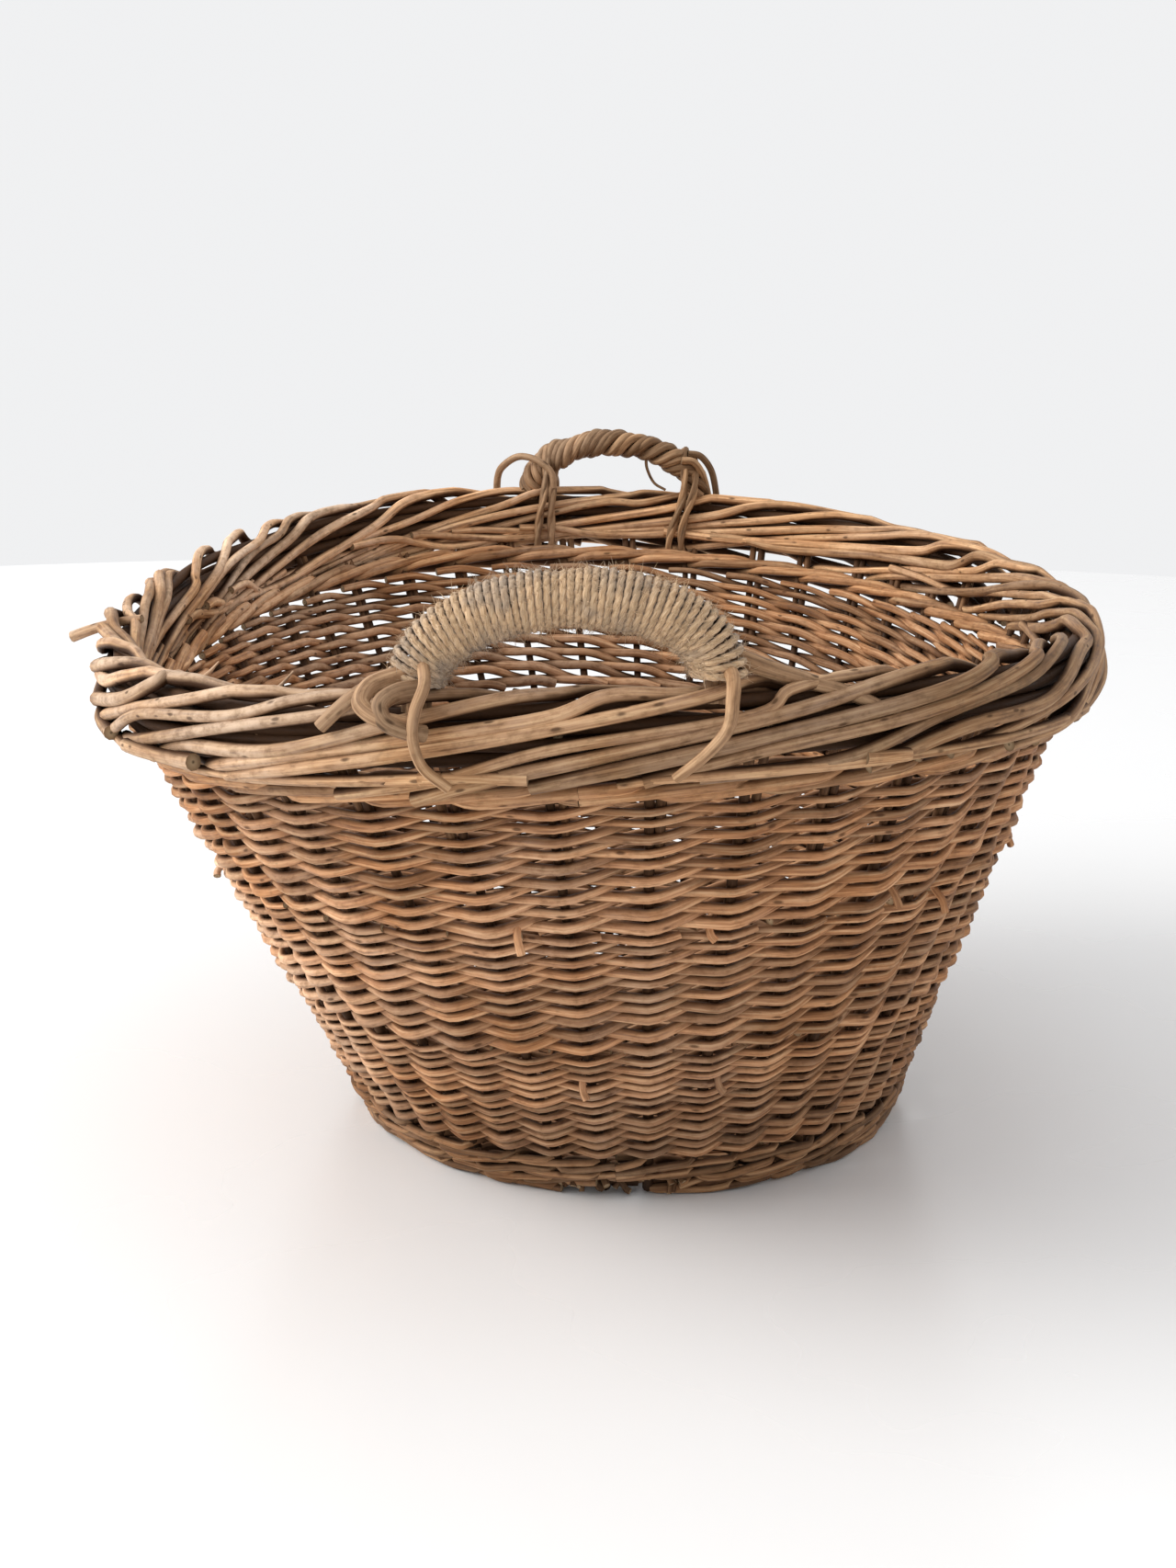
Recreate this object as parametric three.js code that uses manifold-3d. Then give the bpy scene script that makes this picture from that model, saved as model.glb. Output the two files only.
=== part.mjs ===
// Woven willow laundry basket: an oval stake-and-strand basket with a flaring wall and two bow handles.
// Millimetres, +Z up. X runs across the basket, Y along it, with the wrapped handle at the -Y end.
// The origin is on the resting surface, below the middle of the rim.
import * as THREE from 'three';
import { mergeVertices } from 'three/addons/utils/BufferGeometryUtils.js';
import Module from 'manifold-3d';

// Overall form
const RIM_HALF_WIDTH = 265; // outer edge of the border, across
const RIM_HALF_LENGTH = 382; // outer edge of the border, along
const RIM_ROUNDNESS = 2.33; // superellipse exponent: 2 is a true ellipse
const RIM_SKEW = -0.018; // sideways drift of the rim along its length
const RIM_HEIGHT = 296; // mean height of the border's top
const RIM_END_RISE = 7.5; // the ends stand this much above the mean, the sides below it
const RIM_LENGTH_TILT = 2.9;
const RIM_WIDTH_TILT = 4.1;
const RIM_TWIST = 5.6;
const BASE_HALF_WIDTH = 152; // outer edge of the foot, across
const BASE_HALF_LENGTH = 175;
const BASE_OFFSET = 20; // the base sits this far to +X of the rim's middle

// Willow work
const STAKE_COUNT = 46;
const STAKE_RADIUS = 2.8; // half of its square section
const FIRST_STAKE_SHIFT = -0.31; // in stake spacings, from the middle of the -Y end
const WALL_HALF_THICKNESS = 7; // measured level, from the stakes to the wall's face
const BORDER_HEIGHT = 36;
const BORDER_HALF_THICKNESS = 13;
const BORDER_CHAMFER = 6;
const GAP = 0.4; // between neighbouring pieces

// Layers of the wall, as shares of the height from the floor to the border's underside
const FOOT_WALE_TOP = 0.1;
const LOWER_BAND_TOP = 0.375;
const MIDDLE_BAND_TOP = 0.655;
const UPPER_BAND_TOP = 0.935;
const TOP_WALE_TOP = 0.98;
const STAKE_LOW = 0.02; // a stake's lower end, inside the foot
const STAKE_HIGH = 1.055; // its upper end, inside the border
const GAP_SHARE = 0.0012; // half of the gap between layers

// Base
const BASE_FLOOR = 2.5; // underside of the base weave, raised off the floor by the foot
const BASE_THICKNESS = 11;
const STICK_WIDTH = 6.2;
const STICK_HEIGHT = 6;
const STICK_SPLIT = 2; // wood left above and below the lengthwise sticks, together
const SLATH_HALF_WIDTH = 17; // of the oval where the sticks' ends start to fan out
const SLATH_HALF_LENGTH = 52;
const SPOKE_COUNT = 20; // two to a stick
const SPOKE_REACH = 0.92; // of the way from the slath's oval to the base's edge
const TUNNEL_OVERRUN = 14; // how far a stick's tunnel runs past each end of the stick
const DISC_SIDES = 64;

// Handles
const HANDLE_LEG_DEPTH = 13; // how far each leg is pushed into the border
const HANDLE_INSET = 18; // from the end of the rim to the plane of the bow
const WRAPPED_BOW = { end: -1, rise: 34, halfSpan: 62, roundness: 2.1, shift: -4.5 };
const ROPED_BOW = { end: 1, rise: 31, halfSpan: 57.5, roundness: 1.9, shift: 0 };
const WRAPPED_CORE_RADIUS = 6.5;
const TWINE_RADIUS = 12.3; // outside of the twine whipping
const ROPED_CORE_RADIUS = 4.6;
const ROPE_RADIUS = 9.3;
const SLEEVE_CLEARANCE = 1.2; // between a bow's core and what is wound round it
const BOW_LEG_SHARE = 0.1; // of a bow's length, each leg
const BOW_SIDES = 8;
const BOW_STEPS = 18;
const SOCKET_SIDES = 12;
const LASHING_WIDTH = 10;
const LASHING_THICKNESS = 3.6;
const LASHING_CLEARANCE = 2; // level, between a lashing and the border's curved faces
const LASHING_PLACES = { far_lashing_left: -48.5, far_lashing_right: 34 };

const wasm = await Module();
wasm.setup();

const willow = (colour) => new THREE.MeshStandardMaterial({ color: colour, roughness: 0.72, metalness: 0 });
const stakeMaterial = willow(0x6b503a);
const weaveMaterial = willow(0x8f6f50);
const waleMaterial = willow(0x94785a);
const borderMaterial = willow(0x8c755d);
const handleMaterial = willow(0x857058);
const twineMaterial = new THREE.MeshStandardMaterial({ color: 0xb59f7c, roughness: 0.95, metalness: 0 });

// An oval in plan, walked counter-clockwise from the middle of its -Y end.
class Oval extends THREE.Curve {
  constructor(halfWidth, halfLength, roundness, skew) {
    super();
    Object.assign(this, { halfWidth, halfLength, roundness, skew });
    this.arcLengthDivisions = 720;
  }

  getPoint(t, target = new THREE.Vector3()) {
    const angle = 2 * Math.PI * t - Math.PI / 2;
    const swell = (value) => Math.sign(value) * Math.abs(value) ** (2 / this.roundness);
    const y = this.halfLength * swell(Math.sin(angle));
    const x = this.halfWidth * swell(Math.cos(angle)) + this.skew * y;
    return target.set(x, y, 0);
  }
}

const wrapRound = (place) => place - Math.floor(place);

// Height of the border's top at a place in plan: raised ends, and the slight tilt and twist of hand work.
function rimTop(x, y) {
  const across = x / RIM_HALF_WIDTH;
  const along = y / RIM_HALF_LENGTH;
  const saddle = RIM_END_RISE * (along ** 2 - across ** 2);
  const tilt = RIM_LENGTH_TILT * along + RIM_WIDTH_TILT * across;
  return RIM_HEIGHT + saddle + tilt - 2 * RIM_TWIST * across * along;
}

const borderLine = new Oval(
  RIM_HALF_WIDTH - BORDER_HALF_THICKNESS,
  RIM_HALF_LENGTH - BORDER_HALF_THICKNESS,
  RIM_ROUNDNESS,
  RIM_SKEW,
);
const stakeTopLine = new Oval(
  borderLine.halfWidth - WALL_HALF_THICKNESS,
  borderLine.halfLength - WALL_HALF_THICKNESS,
  RIM_ROUNDNESS,
  RIM_SKEW,
);
const stakeFootLine = new Oval(
  BASE_HALF_WIDTH - WALL_HALF_THICKNESS,
  BASE_HALF_LENGTH - WALL_HALF_THICKNESS,
  2,
  0,
);

// Outward level direction of an oval.
function outward(oval, place) {
  const along = oval.getTangentAt(wrapRound(place));
  return new THREE.Vector3(along.y, -along.x, 0).normalize();
}

// A point in the wall. Place goes round from 0 to 1, share up from the floor to the border's underside.
function wallPoint(place, share, depth = 0) {
  const foot = stakeFootLine.getPointAt(wrapRound(place));
  foot.x += BASE_OFFSET;
  const head = stakeTopLine.getPointAt(wrapRound(place));
  head.z = rimTop(head.x, head.y) - BORDER_HEIGHT;
  const normal = outward(share > 0.5 ? stakeTopLine : stakeFootLine, place);
  return foot.lerp(head, share).addScaledVector(normal, depth);
}

// A point of the border, at a level drop below its top and a level distance from its centre line.
function borderPoint(place, drop, depth) {
  const point = borderLine.getPointAt(wrapRound(place));
  point.z = rimTop(point.x, point.y) - drop;
  return point.addScaledVector(outward(borderLine, place), depth);
}

// Four corners round a stake, at a share of the wall's height and a level reach from the stake's centre.
function stakeCorners(number, share, reach) {
  const place = (number + FIRST_STAKE_SHIFT) / STAKE_COUNT;
  const centre = wallPoint(place, share);
  const across = outward(stakeTopLine, place).multiplyScalar(reach);
  const along = new THREE.Vector3(-across.y, across.x, 0);
  const corner = (x, y) => centre.clone().addScaledVector(across, x).addScaledVector(along, y);
  return [corner(1, -1), corner(1, 1), corner(-1, 1), corner(-1, -1)];
}

// Gathers triangles and quads given as points, with their outer faces counter-clockwise.
class Facets {
  constructor() {
    this.positions = [];
  }

  quad(a, b, c, d) {
    for (const point of [a, b, c, a, c, d]) this.positions.push(point.x, point.y, point.z);
  }

  // The faces between two loops that run the same way, the second on the far side.
  sleeve(near, far, flip = false) {
    near.forEach((point, i) => {
      const j = (i + 1) % near.length;
      if (flip) this.quad(point, far[i], far[j], near[j]);
      else this.quad(point, near[j], far[j], far[i]);
    });
  }

  geometry() {
    const geometry = new THREE.BufferGeometry();
    geometry.setAttribute('position', new THREE.Float32BufferAttribute(this.positions, 3));
    geometry.computeVertexNormals();
    return geometry;
  }
}

const CHANNEL_REACH = STAKE_RADIUS + GAP;

// A ring of willow work with a square channel for every stake. The outline gives the cross-section half-way
// between stakes, from its lower outer corner up, over and down to its lower inner corner. The channels run
// between two shares of the wall's height, and each end is either open or closed.
function ringGeometry(outline, channelLow, channelHigh, openBelow, openAbove) {
  const facets = new Facets();
  for (let number = 0; number < STAKE_COUNT; number += 1) {
    const before = outline((number - 0.5 + FIRST_STAKE_SHIFT) / STAKE_COUNT);
    const after = outline((number + 0.5 + FIRST_STAKE_SHIFT) / STAKE_COUNT);
    const low = stakeCorners(number, channelLow, CHANNEL_REACH);
    const high = stakeCorners(number, channelHigh, CHANNEL_REACH);
    const last = before.length - 1;
    const half = before.length / 2;
    for (let i = 0; i < last; i += 1) {
      if (i !== half - 1) facets.quad(before[i], after[i], after[i + 1], before[i + 1]);
    }
    const top = [before[half - 1], after[half - 1], after[half], before[half]];
    const bottom = [before[0], after[0], after[last], before[last]];
    if (openAbove) facets.sleeve(top, high);
    else facets.quad(...top);
    if (openBelow) facets.sleeve(bottom, low, true);
    else facets.quad(...bottom.toReversed());
    facets.sleeve(low, high, true);
    if (!openAbove) facets.quad(...high.toReversed());
    if (!openBelow) facets.quad(...low);
  }
  return facets.geometry();
}

function stakeGeometry(number) {
  const facets = new Facets();
  const low = stakeCorners(number, STAKE_LOW, STAKE_RADIUS);
  const high = stakeCorners(number, STAKE_HIGH, STAKE_RADIUS);
  facets.sleeve(low, high);
  facets.quad(...high);
  facets.quad(...low.toReversed());
  return facets.geometry();
}

function toSolid(geometry) {
  const bare = geometry.clone();
  bare.deleteAttribute('normal');
  bare.deleteAttribute('uv');
  const merged = mergeVertices(bare, 1e-4);
  const mesh = new wasm.Mesh({
    numProp: 3,
    vertProperties: new Float32Array(merged.attributes.position.array),
    triVerts: new Uint32Array(merged.index.array),
  });
  return new wasm.Manifold(mesh);
}

function toGeometry(solid) {
  const mesh = solid.getMesh();
  const geometry = new THREE.BufferGeometry();
  geometry.setAttribute('position', new THREE.BufferAttribute(new Float32Array(mesh.vertProperties), 3));
  geometry.setIndex(new THREE.BufferAttribute(new Uint32Array(mesh.triVerts), 1));
  geometry.computeVertexNormals();
  return geometry;
}

// A straight rod with flat ends.
function rodGeometry(start, end, radius, sides) {
  const along = end.clone().sub(start);
  const rod = new THREE.CylinderGeometry(radius, radius, along.length(), sides);
  const turn = new THREE.Quaternion().setFromUnitVectors(new THREE.Vector3(0, 1, 0), along.normalize());
  const middle = start.clone().add(end).multiplyScalar(0.5);
  return rod.applyQuaternion(turn).translate(middle.x, middle.y, middle.z);
}

// One layer of the wall between two shares of its height. The foot's channels are closed below.
function layerGeometry(low, high) {
  const start = low + (low > 0 ? GAP_SHARE : 0);
  const end = high - GAP_SHARE;
  const onFloor = low === 0;
  const outline = (place) => [
    wallPoint(place, start, WALL_HALF_THICKNESS),
    wallPoint(place, end, WALL_HALF_THICKNESS),
    wallPoint(place, end, -WALL_HALF_THICKNESS),
    wallPoint(place, start, -WALL_HALF_THICKNESS),
  ];
  const channelStart = onFloor ? STAKE_LOW - GAP_SHARE : start;
  return ringGeometry(outline, channelStart, end, !onFloor, true);
}

function borderGeometry() {
  const edge = BORDER_HALF_THICKNESS - BORDER_CHAMFER;
  const profile = [
    [BORDER_HEIGHT, edge],
    [BORDER_HEIGHT - BORDER_CHAMFER, BORDER_HALF_THICKNESS],
    [BORDER_CHAMFER, BORDER_HALF_THICKNESS],
    [0, edge],
    [0, -edge],
    [BORDER_CHAMFER, -BORDER_HALF_THICKNESS],
    [BORDER_HEIGHT - BORDER_CHAMFER, -BORDER_HALF_THICKNESS],
    [BORDER_HEIGHT, -edge],
  ];
  const outline = (place) => profile.map(([drop, depth]) => borderPoint(place, drop, depth));
  return ringGeometry(outline, 1, STAKE_HIGH + GAP_SHARE, true, false);
}

// Base: lengthwise sticks threaded through split cross sticks, bound into one slath with fanned ends.
const slathOval = new Oval(SLATH_HALF_WIDTH, SLATH_HALF_LENGTH, 2, 0);
const baseEdge = new Oval(
  BASE_HALF_WIDTH - 2 * WALL_HALF_THICKNESS,
  BASE_HALF_LENGTH - 2 * WALL_HALF_THICKNESS,
  2,
  0,
);

// A square-ended length of stick between two points in plan, each end run on to overlap its neighbour.
function stickGeometry(start, end, width, height) {
  const along = end.clone().sub(start);
  const middle = start.clone().add(end).multiplyScalar(0.5);
  const stick = new THREE.BoxGeometry(along.length() + width, width, height);
  stick.rotateZ(Math.atan2(along.y, along.x));
  return stick.translate(BASE_OFFSET + middle.x, middle.y, BASE_FLOOR + BASE_THICKNESS / 2);
}

function slathSolid(clearance, overrun) {
  const width = STICK_WIDTH + 2 * clearance;
  const height = STICK_HEIGHT + 2 * clearance;
  const lengths = [];
  for (let spoke = 0; spoke < SPOKE_COUNT; spoke += 1) {
    const lengthwise = Math.abs(((spoke + SPOKE_COUNT / 4) % (SPOKE_COUNT / 2)) - SPOKE_COUNT / 4) < 2;
    const inner = slathOval.getPointAt(spoke / SPOKE_COUNT);
    const edge = baseEdge.getPointAt(spoke / SPOKE_COUNT);
    const outer = inner.clone().lerp(edge, SPOKE_REACH);
    const overrunStep = outer.clone().sub(inner).setLength(overrun);
    const partner = new THREE.Vector3(lengthwise ? inner.x : -inner.x, lengthwise ? -inner.y : inner.y, 0);
    const stickHeight = lengthwise ? height - STICK_SPLIT : height;
    lengths.push(stickGeometry(inner, outer.add(overrunStep), width, stickHeight));
    lengths.push(stickGeometry(inner, partner, width, stickHeight));
  }
  return wasm.Manifold.union(lengths.map(toSolid));
}

function baseWeaveSolid() {
  const inset = 2 * WALL_HALF_THICKNESS + GAP;
  const disc = new THREE.CylinderGeometry(1, 1, BASE_THICKNESS, DISC_SIDES).rotateX(Math.PI / 2);
  disc.scale(BASE_HALF_WIDTH - inset, BASE_HALF_LENGTH - inset, 1);
  disc.translate(BASE_OFFSET, 0, BASE_FLOOR + BASE_THICKNESS / 2);
  return toSolid(disc).subtract(slathSolid(GAP, TUNNEL_OVERRUN));
}

// Handles: a bow standing on the border at one end of the basket, its legs pushed into the border.
class Bow extends THREE.Curve {
  constructor({ end, rise, halfSpan, roundness, shift }, legDepth, lift = 0) {
    super();
    this.y = end * (RIM_HALF_LENGTH - HANDLE_INSET);
    this.middle = RIM_SKEW * this.y + shift;
    this.legShare = legDepth > 0 ? BOW_LEG_SHARE : 0;
    Object.assign(this, { rise, halfSpan, roundness, legDepth, lift });
  }

  // Height of the bow's foot at a distance from its middle.
  footHeight(x) {
    return rimTop(this.middle + x, this.y) + this.lift;
  }

  getPoint(t, target = new THREE.Vector3()) {
    const toEnd = Math.min(t, 1 - t);
    if (toEnd < this.legShare) {
      const x = (t < 0.5 ? -1 : 1) * this.halfSpan;
      const z = this.footHeight(x) + (toEnd / this.legShare - 1) * this.legDepth;
      return target.set(this.middle + x, this.y, z);
    }
    const angle = Math.PI * (1 - (t - this.legShare) / (1 - 2 * this.legShare));
    const swell = (value) => Math.sign(value) * Math.abs(value) ** (2 / this.roundness);
    const x = this.halfSpan * swell(Math.cos(angle));
    const z = this.footHeight(x) + (this.rise - this.lift) * swell(Math.max(0, Math.sin(angle)));
    return target.set(this.middle + x, this.y, z);
  }
}

function circleShape(radius, sides) {
  const points = [];
  for (let i = 0; i < sides; i += 1) {
    const angle = (2 * Math.PI * i) / sides;
    points.push(new THREE.Vector2(radius * Math.cos(angle), radius * Math.sin(angle)));
  }
  return points;
}

function tubeGeometry(path, radius, boreRadius = 0) {
  const shape = new THREE.Shape(circleShape(radius, BOW_SIDES));
  if (boreRadius > 0) shape.holes.push(new THREE.Path(circleShape(boreRadius, BOW_SIDES)));
  return new THREE.ExtrudeGeometry(shape, { steps: BOW_STEPS, extrudePath: path, bevelEnabled: false });
}

const wrappedBow = new Bow(WRAPPED_BOW, HANDLE_LEG_DEPTH);
const ropedBow = new Bow(ROPED_BOW, HANDLE_LEG_DEPTH);
const wrappedCore = tubeGeometry(wrappedBow, WRAPPED_CORE_RADIUS);
const ropedCore = tubeGeometry(ropedBow, ROPED_CORE_RADIUS);

// The sleeve wound round a bow's core stands on the border and has no legs.
function sleeveGeometry(bowShape, radius, boreRadius) {
  const sleeve = new Bow(bowShape, 0, SLEEVE_CLEARANCE);
  return tubeGeometry(sleeve, radius, boreRadius + SLEEVE_CLEARANCE);
}

function sockets(bow, coreRadius) {
  return [-bow.halfSpan, bow.halfSpan].map((x) => {
    const low = new THREE.Vector3(bow.middle + x, bow.y, bow.footHeight(x) - HANDLE_LEG_DEPTH - GAP);
    const high = low.clone().setZ(low.z + BORDER_HEIGHT);
    return toSolid(rodGeometry(low, high, coreRadius + 2 * GAP, SOCKET_SIDES));
  });
}

// A double rod bound round the border beside a handle's foot, through the gap under the border.
function lashingGeometry(x) {
  const near = borderLine.getPointAt(0.5);
  const place = wrapRound(0.5 - (x - near.x) / borderLine.getLength());
  const halfInner = BORDER_HALF_THICKNESS + LASHING_CLEARANCE;
  const halfOuter = halfInner + LASHING_THICKNESS;
  const top = 2 * GAP;
  const bottom = -BORDER_HEIGHT - 2 * GAP;
  const loop = (half, high, low) => [
    new THREE.Vector2(-half, low),
    new THREE.Vector2(half, low),
    new THREE.Vector2(half, high),
    new THREE.Vector2(-half, high),
  ];
  const shape = new THREE.Shape(loop(halfOuter, top + LASHING_THICKNESS, bottom - LASHING_THICKNESS));
  shape.holes.push(new THREE.Path(loop(halfInner, top, bottom)));
  const geometry = new THREE.ExtrudeGeometry(shape, { depth: LASHING_WIDTH, bevelEnabled: false });
  const across = outward(borderLine, place);
  const up = new THREE.Vector3(0, 0, 1);
  const along = across.clone().cross(up);
  const centre = borderPoint(place, 0, 0).addScaledVector(along, -LASHING_WIDTH / 2);
  return geometry.applyMatrix4(new THREE.Matrix4().makeBasis(across, up, along).setPosition(centre));
}

const basket = new THREE.Group();

function addPiece(name, geometry, material) {
  const mesh = new THREE.Mesh(geometry, material);
  mesh.name = name;
  basket.add(mesh);
}

addPiece('base_slath', toGeometry(slathSolid(0, 0)), stakeMaterial);
addPiece('base_weave', toGeometry(baseWeaveSolid()), weaveMaterial);
addPiece('foot_wale', layerGeometry(0, FOOT_WALE_TOP), waleMaterial);
addPiece('lower_band', layerGeometry(FOOT_WALE_TOP, LOWER_BAND_TOP), weaveMaterial);
addPiece('middle_band', layerGeometry(LOWER_BAND_TOP, MIDDLE_BAND_TOP), weaveMaterial);
addPiece('upper_band', layerGeometry(MIDDLE_BAND_TOP, UPPER_BAND_TOP), weaveMaterial);
addPiece('top_wale', layerGeometry(UPPER_BAND_TOP, TOP_WALE_TOP), waleMaterial);
const legSockets = [...sockets(wrappedBow, WRAPPED_CORE_RADIUS), ...sockets(ropedBow, ROPED_CORE_RADIUS)];
const border = toSolid(borderGeometry()).subtract(wasm.Manifold.union(legSockets));
addPiece('border', toGeometry(border), borderMaterial);
for (let number = 0; number < STAKE_COUNT; number += 1) {
  addPiece(`stake_${String(number + 1).padStart(2, '0')}`, stakeGeometry(number), stakeMaterial);
}
addPiece('near_handle_core', wrappedCore, handleMaterial);
addPiece('near_handle_twine', sleeveGeometry(WRAPPED_BOW, TWINE_RADIUS, WRAPPED_CORE_RADIUS), twineMaterial);
addPiece('far_handle_core', ropedCore, handleMaterial);
addPiece('far_handle_rope', sleeveGeometry(ROPED_BOW, ROPE_RADIUS, ROPED_CORE_RADIUS), handleMaterial);
for (const [name, x] of Object.entries(LASHING_PLACES)) {
  addPiece(name, lashingGeometry(x), handleMaterial);
}

export default basket;
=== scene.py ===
"""The visual model of a woven willow laundry basket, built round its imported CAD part.

Metres, +Z up. X runs across the basket and Y along it, with the twine-wrapped handle at the -Y end.
A place goes round the basket from 0 to 1, counter-clockwise from the middle of the -Y end.
A share goes up the wall from 0 on the floor to 1 at the underside of the border.
"""

import math

import bpy
import numpy as np
from mathutils import Matrix, Vector


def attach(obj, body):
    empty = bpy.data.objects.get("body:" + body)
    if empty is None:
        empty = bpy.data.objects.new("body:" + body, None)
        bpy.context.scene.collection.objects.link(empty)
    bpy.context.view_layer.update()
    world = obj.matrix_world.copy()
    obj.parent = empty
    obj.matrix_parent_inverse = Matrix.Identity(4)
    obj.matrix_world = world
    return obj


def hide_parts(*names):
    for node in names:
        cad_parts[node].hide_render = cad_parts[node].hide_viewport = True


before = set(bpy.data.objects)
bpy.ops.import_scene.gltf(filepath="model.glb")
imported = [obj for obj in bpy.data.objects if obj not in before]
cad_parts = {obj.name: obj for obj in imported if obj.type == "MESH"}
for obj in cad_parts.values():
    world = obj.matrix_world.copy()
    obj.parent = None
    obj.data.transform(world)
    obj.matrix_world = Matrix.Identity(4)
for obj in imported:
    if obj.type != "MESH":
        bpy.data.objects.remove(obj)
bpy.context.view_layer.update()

MM = 0.001

# ---------------------------------------------------------------- dimensions, as in the CAD part

RIM_HALF_WIDTH = 265 * MM
RIM_HALF_LENGTH = 382 * MM
RIM_ROUNDNESS = 2.33
RIM_SKEW = -0.018
RIM_HEIGHT = 296 * MM
RIM_END_RISE = 7.5 * MM
RIM_LENGTH_TILT = 2.9 * MM
RIM_WIDTH_TILT = 4.1 * MM
RIM_TWIST = 5.6 * MM
BASE_HALF_WIDTH = 152 * MM
BASE_HALF_LENGTH = 175 * MM
BASE_OFFSET = 20 * MM
STAKE_COUNT = 46
FIRST_STAKE_SHIFT = -0.31
WALL_HALF_THICKNESS = 7 * MM
BORDER_HEIGHT = 36 * MM
BORDER_HALF_THICKNESS = 13 * MM
FOOT_WALE_TOP = 0.1
LOWER_BAND_TOP = 0.375
MIDDLE_BAND_TOP = 0.655
UPPER_BAND_TOP = 0.935
TOP_WALE_TOP = 0.98
BASE_MIDDLE = 8 * MM
HANDLE_LEG_DEPTH = 13 * MM
HANDLE_INSET = 18 * MM
WRAPPED_RISE = 34 * MM
ROPED_RISE = 31 * MM

# ---------------------------------------------------------------- camera

CAMERA_PLACE = Vector((0.0583, -1.3656, 0.4808))
CAMERA_YAW = math.radians(-2.69)
CAMERA_PITCH = math.radians(12.585)
CAMERA_ROLL = math.radians(0.562)
CAMERA_LENS = 57.02
CAMERA_SENSOR_WIDTH = 36


def add_camera():
    data = bpy.data.cameras.new("camera")
    data.lens = CAMERA_LENS
    data.sensor_width = CAMERA_SENSOR_WIDTH
    camera = bpy.data.objects.new("camera", data)
    bpy.context.scene.collection.objects.link(camera)
    level = math.cos(CAMERA_PITCH)
    forward = Vector(
        (math.sin(CAMERA_YAW) * level, math.cos(CAMERA_YAW) * level, -math.sin(CAMERA_PITCH))
    )
    right = Vector((math.cos(CAMERA_YAW), -math.sin(CAMERA_YAW), 0))
    up = right.cross(forward)
    rolled_right = right * math.cos(CAMERA_ROLL) + up * math.sin(CAMERA_ROLL)
    rolled_up = up * math.cos(CAMERA_ROLL) - right * math.sin(CAMERA_ROLL)
    turn = Matrix((rolled_right, rolled_up, -forward)).transposed()
    camera.matrix_world = Matrix.LocRotScale(CAMERA_PLACE, turn.to_quaternion(), None)
    bpy.context.scene.camera = camera


add_camera()

# ---------------------------------------------------------------- the basket's form

# The steps either side of a point over which a direction is measured, in place and in share.
OVAL_STEP = 0.003
PLACE_STEP = 0.004
SHARE_STEP = 0.01


def swell(value, roundness):
    """A sine or cosine made fuller, for an oval or arch squarer than an ellipse."""
    return np.sign(value) * np.abs(value) ** (2 / roundness)


def unit(vectors):
    return vectors / np.linalg.norm(vectors, axis=-1, keepdims=True)


class Oval:
    """An oval in plan, walked by its arc length from the middle of its -Y end."""

    STEPS = 4000

    def __init__(self, half_width, half_length, roundness, skew, offset):
        angle = np.linspace(0, 2 * np.pi, self.STEPS + 1) - np.pi / 2
        self.y = half_length * swell(np.sin(angle), roundness)
        self.x = half_width * swell(np.cos(angle), roundness) + skew * self.y + offset
        travelled = np.cumsum(np.hypot(np.diff(self.x), np.diff(self.y)))
        self.length = travelled[-1]
        self.share = np.concatenate([[0], travelled]) / self.length

    def point(self, place):
        place = np.mod(place, 1)
        return np.stack(
            [np.interp(place, self.share, self.x), np.interp(place, self.share, self.y)], -1
        )

    def outward(self, place):
        along = self.point(place + OVAL_STEP) - self.point(place - OVAL_STEP)
        return unit(np.stack([along[..., 1], -along[..., 0]], -1))


def rim_top(plan):
    """The height of the border's top over points in plan."""
    across = plan[..., 0] / RIM_HALF_WIDTH
    along = plan[..., 1] / RIM_HALF_LENGTH
    saddle = RIM_END_RISE * (along**2 - across**2)
    tilt = RIM_LENGTH_TILT * along + RIM_WIDTH_TILT * across
    return RIM_HEIGHT + saddle + tilt - 2 * RIM_TWIST * across * along


def oval_inside(half_width, half_length, inset, roundness, skew, offset):
    return Oval(half_width - inset, half_length - inset, roundness, skew, offset)


BORDER_LINE = oval_inside(
    RIM_HALF_WIDTH, RIM_HALF_LENGTH, BORDER_HALF_THICKNESS, RIM_ROUNDNESS, RIM_SKEW, 0
)
TOP_LINE = oval_inside(
    RIM_HALF_WIDTH,
    RIM_HALF_LENGTH,
    BORDER_HALF_THICKNESS + WALL_HALF_THICKNESS,
    RIM_ROUNDNESS,
    RIM_SKEW,
    0,
)
FOOT_LINE = oval_inside(
    BASE_HALF_WIDTH, BASE_HALF_LENGTH, WALL_HALF_THICKNESS, 2, 0, BASE_OFFSET
)


def stake_place(number):
    return (number + FIRST_STAKE_SHIFT) / STAKE_COUNT


def wall_middle(place, share):
    """Points on the surface that runs through the stakes."""
    place, share = np.broadcast_arrays(place, share)
    foot = FOOT_LINE.point(place)
    head = TOP_LINE.point(place)
    height = share * (rim_top(head) - BORDER_HEIGHT)
    plan = foot + (head - foot) * share[..., None]
    return np.concatenate([plan, height[..., None]], -1)


def wall_outward(place, share):
    along = wall_middle(place + PLACE_STEP, share) - wall_middle(place - PLACE_STEP, share)
    upward = wall_middle(place, share + SHARE_STEP) - wall_middle(place, share - SHARE_STEP)
    return unit(np.cross(along, upward))


def border_point(place, drop, depth):
    """Points of the border, at a drop below its top and a level distance from its centre line."""
    plan = BORDER_LINE.point(place)
    height = rim_top(plan) - drop
    plan = plan + BORDER_LINE.outward(place) * np.asarray(depth)[..., None]
    return np.concatenate([plan, height[..., None]], -1)


# ---------------------------------------------------------------- rods


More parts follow.
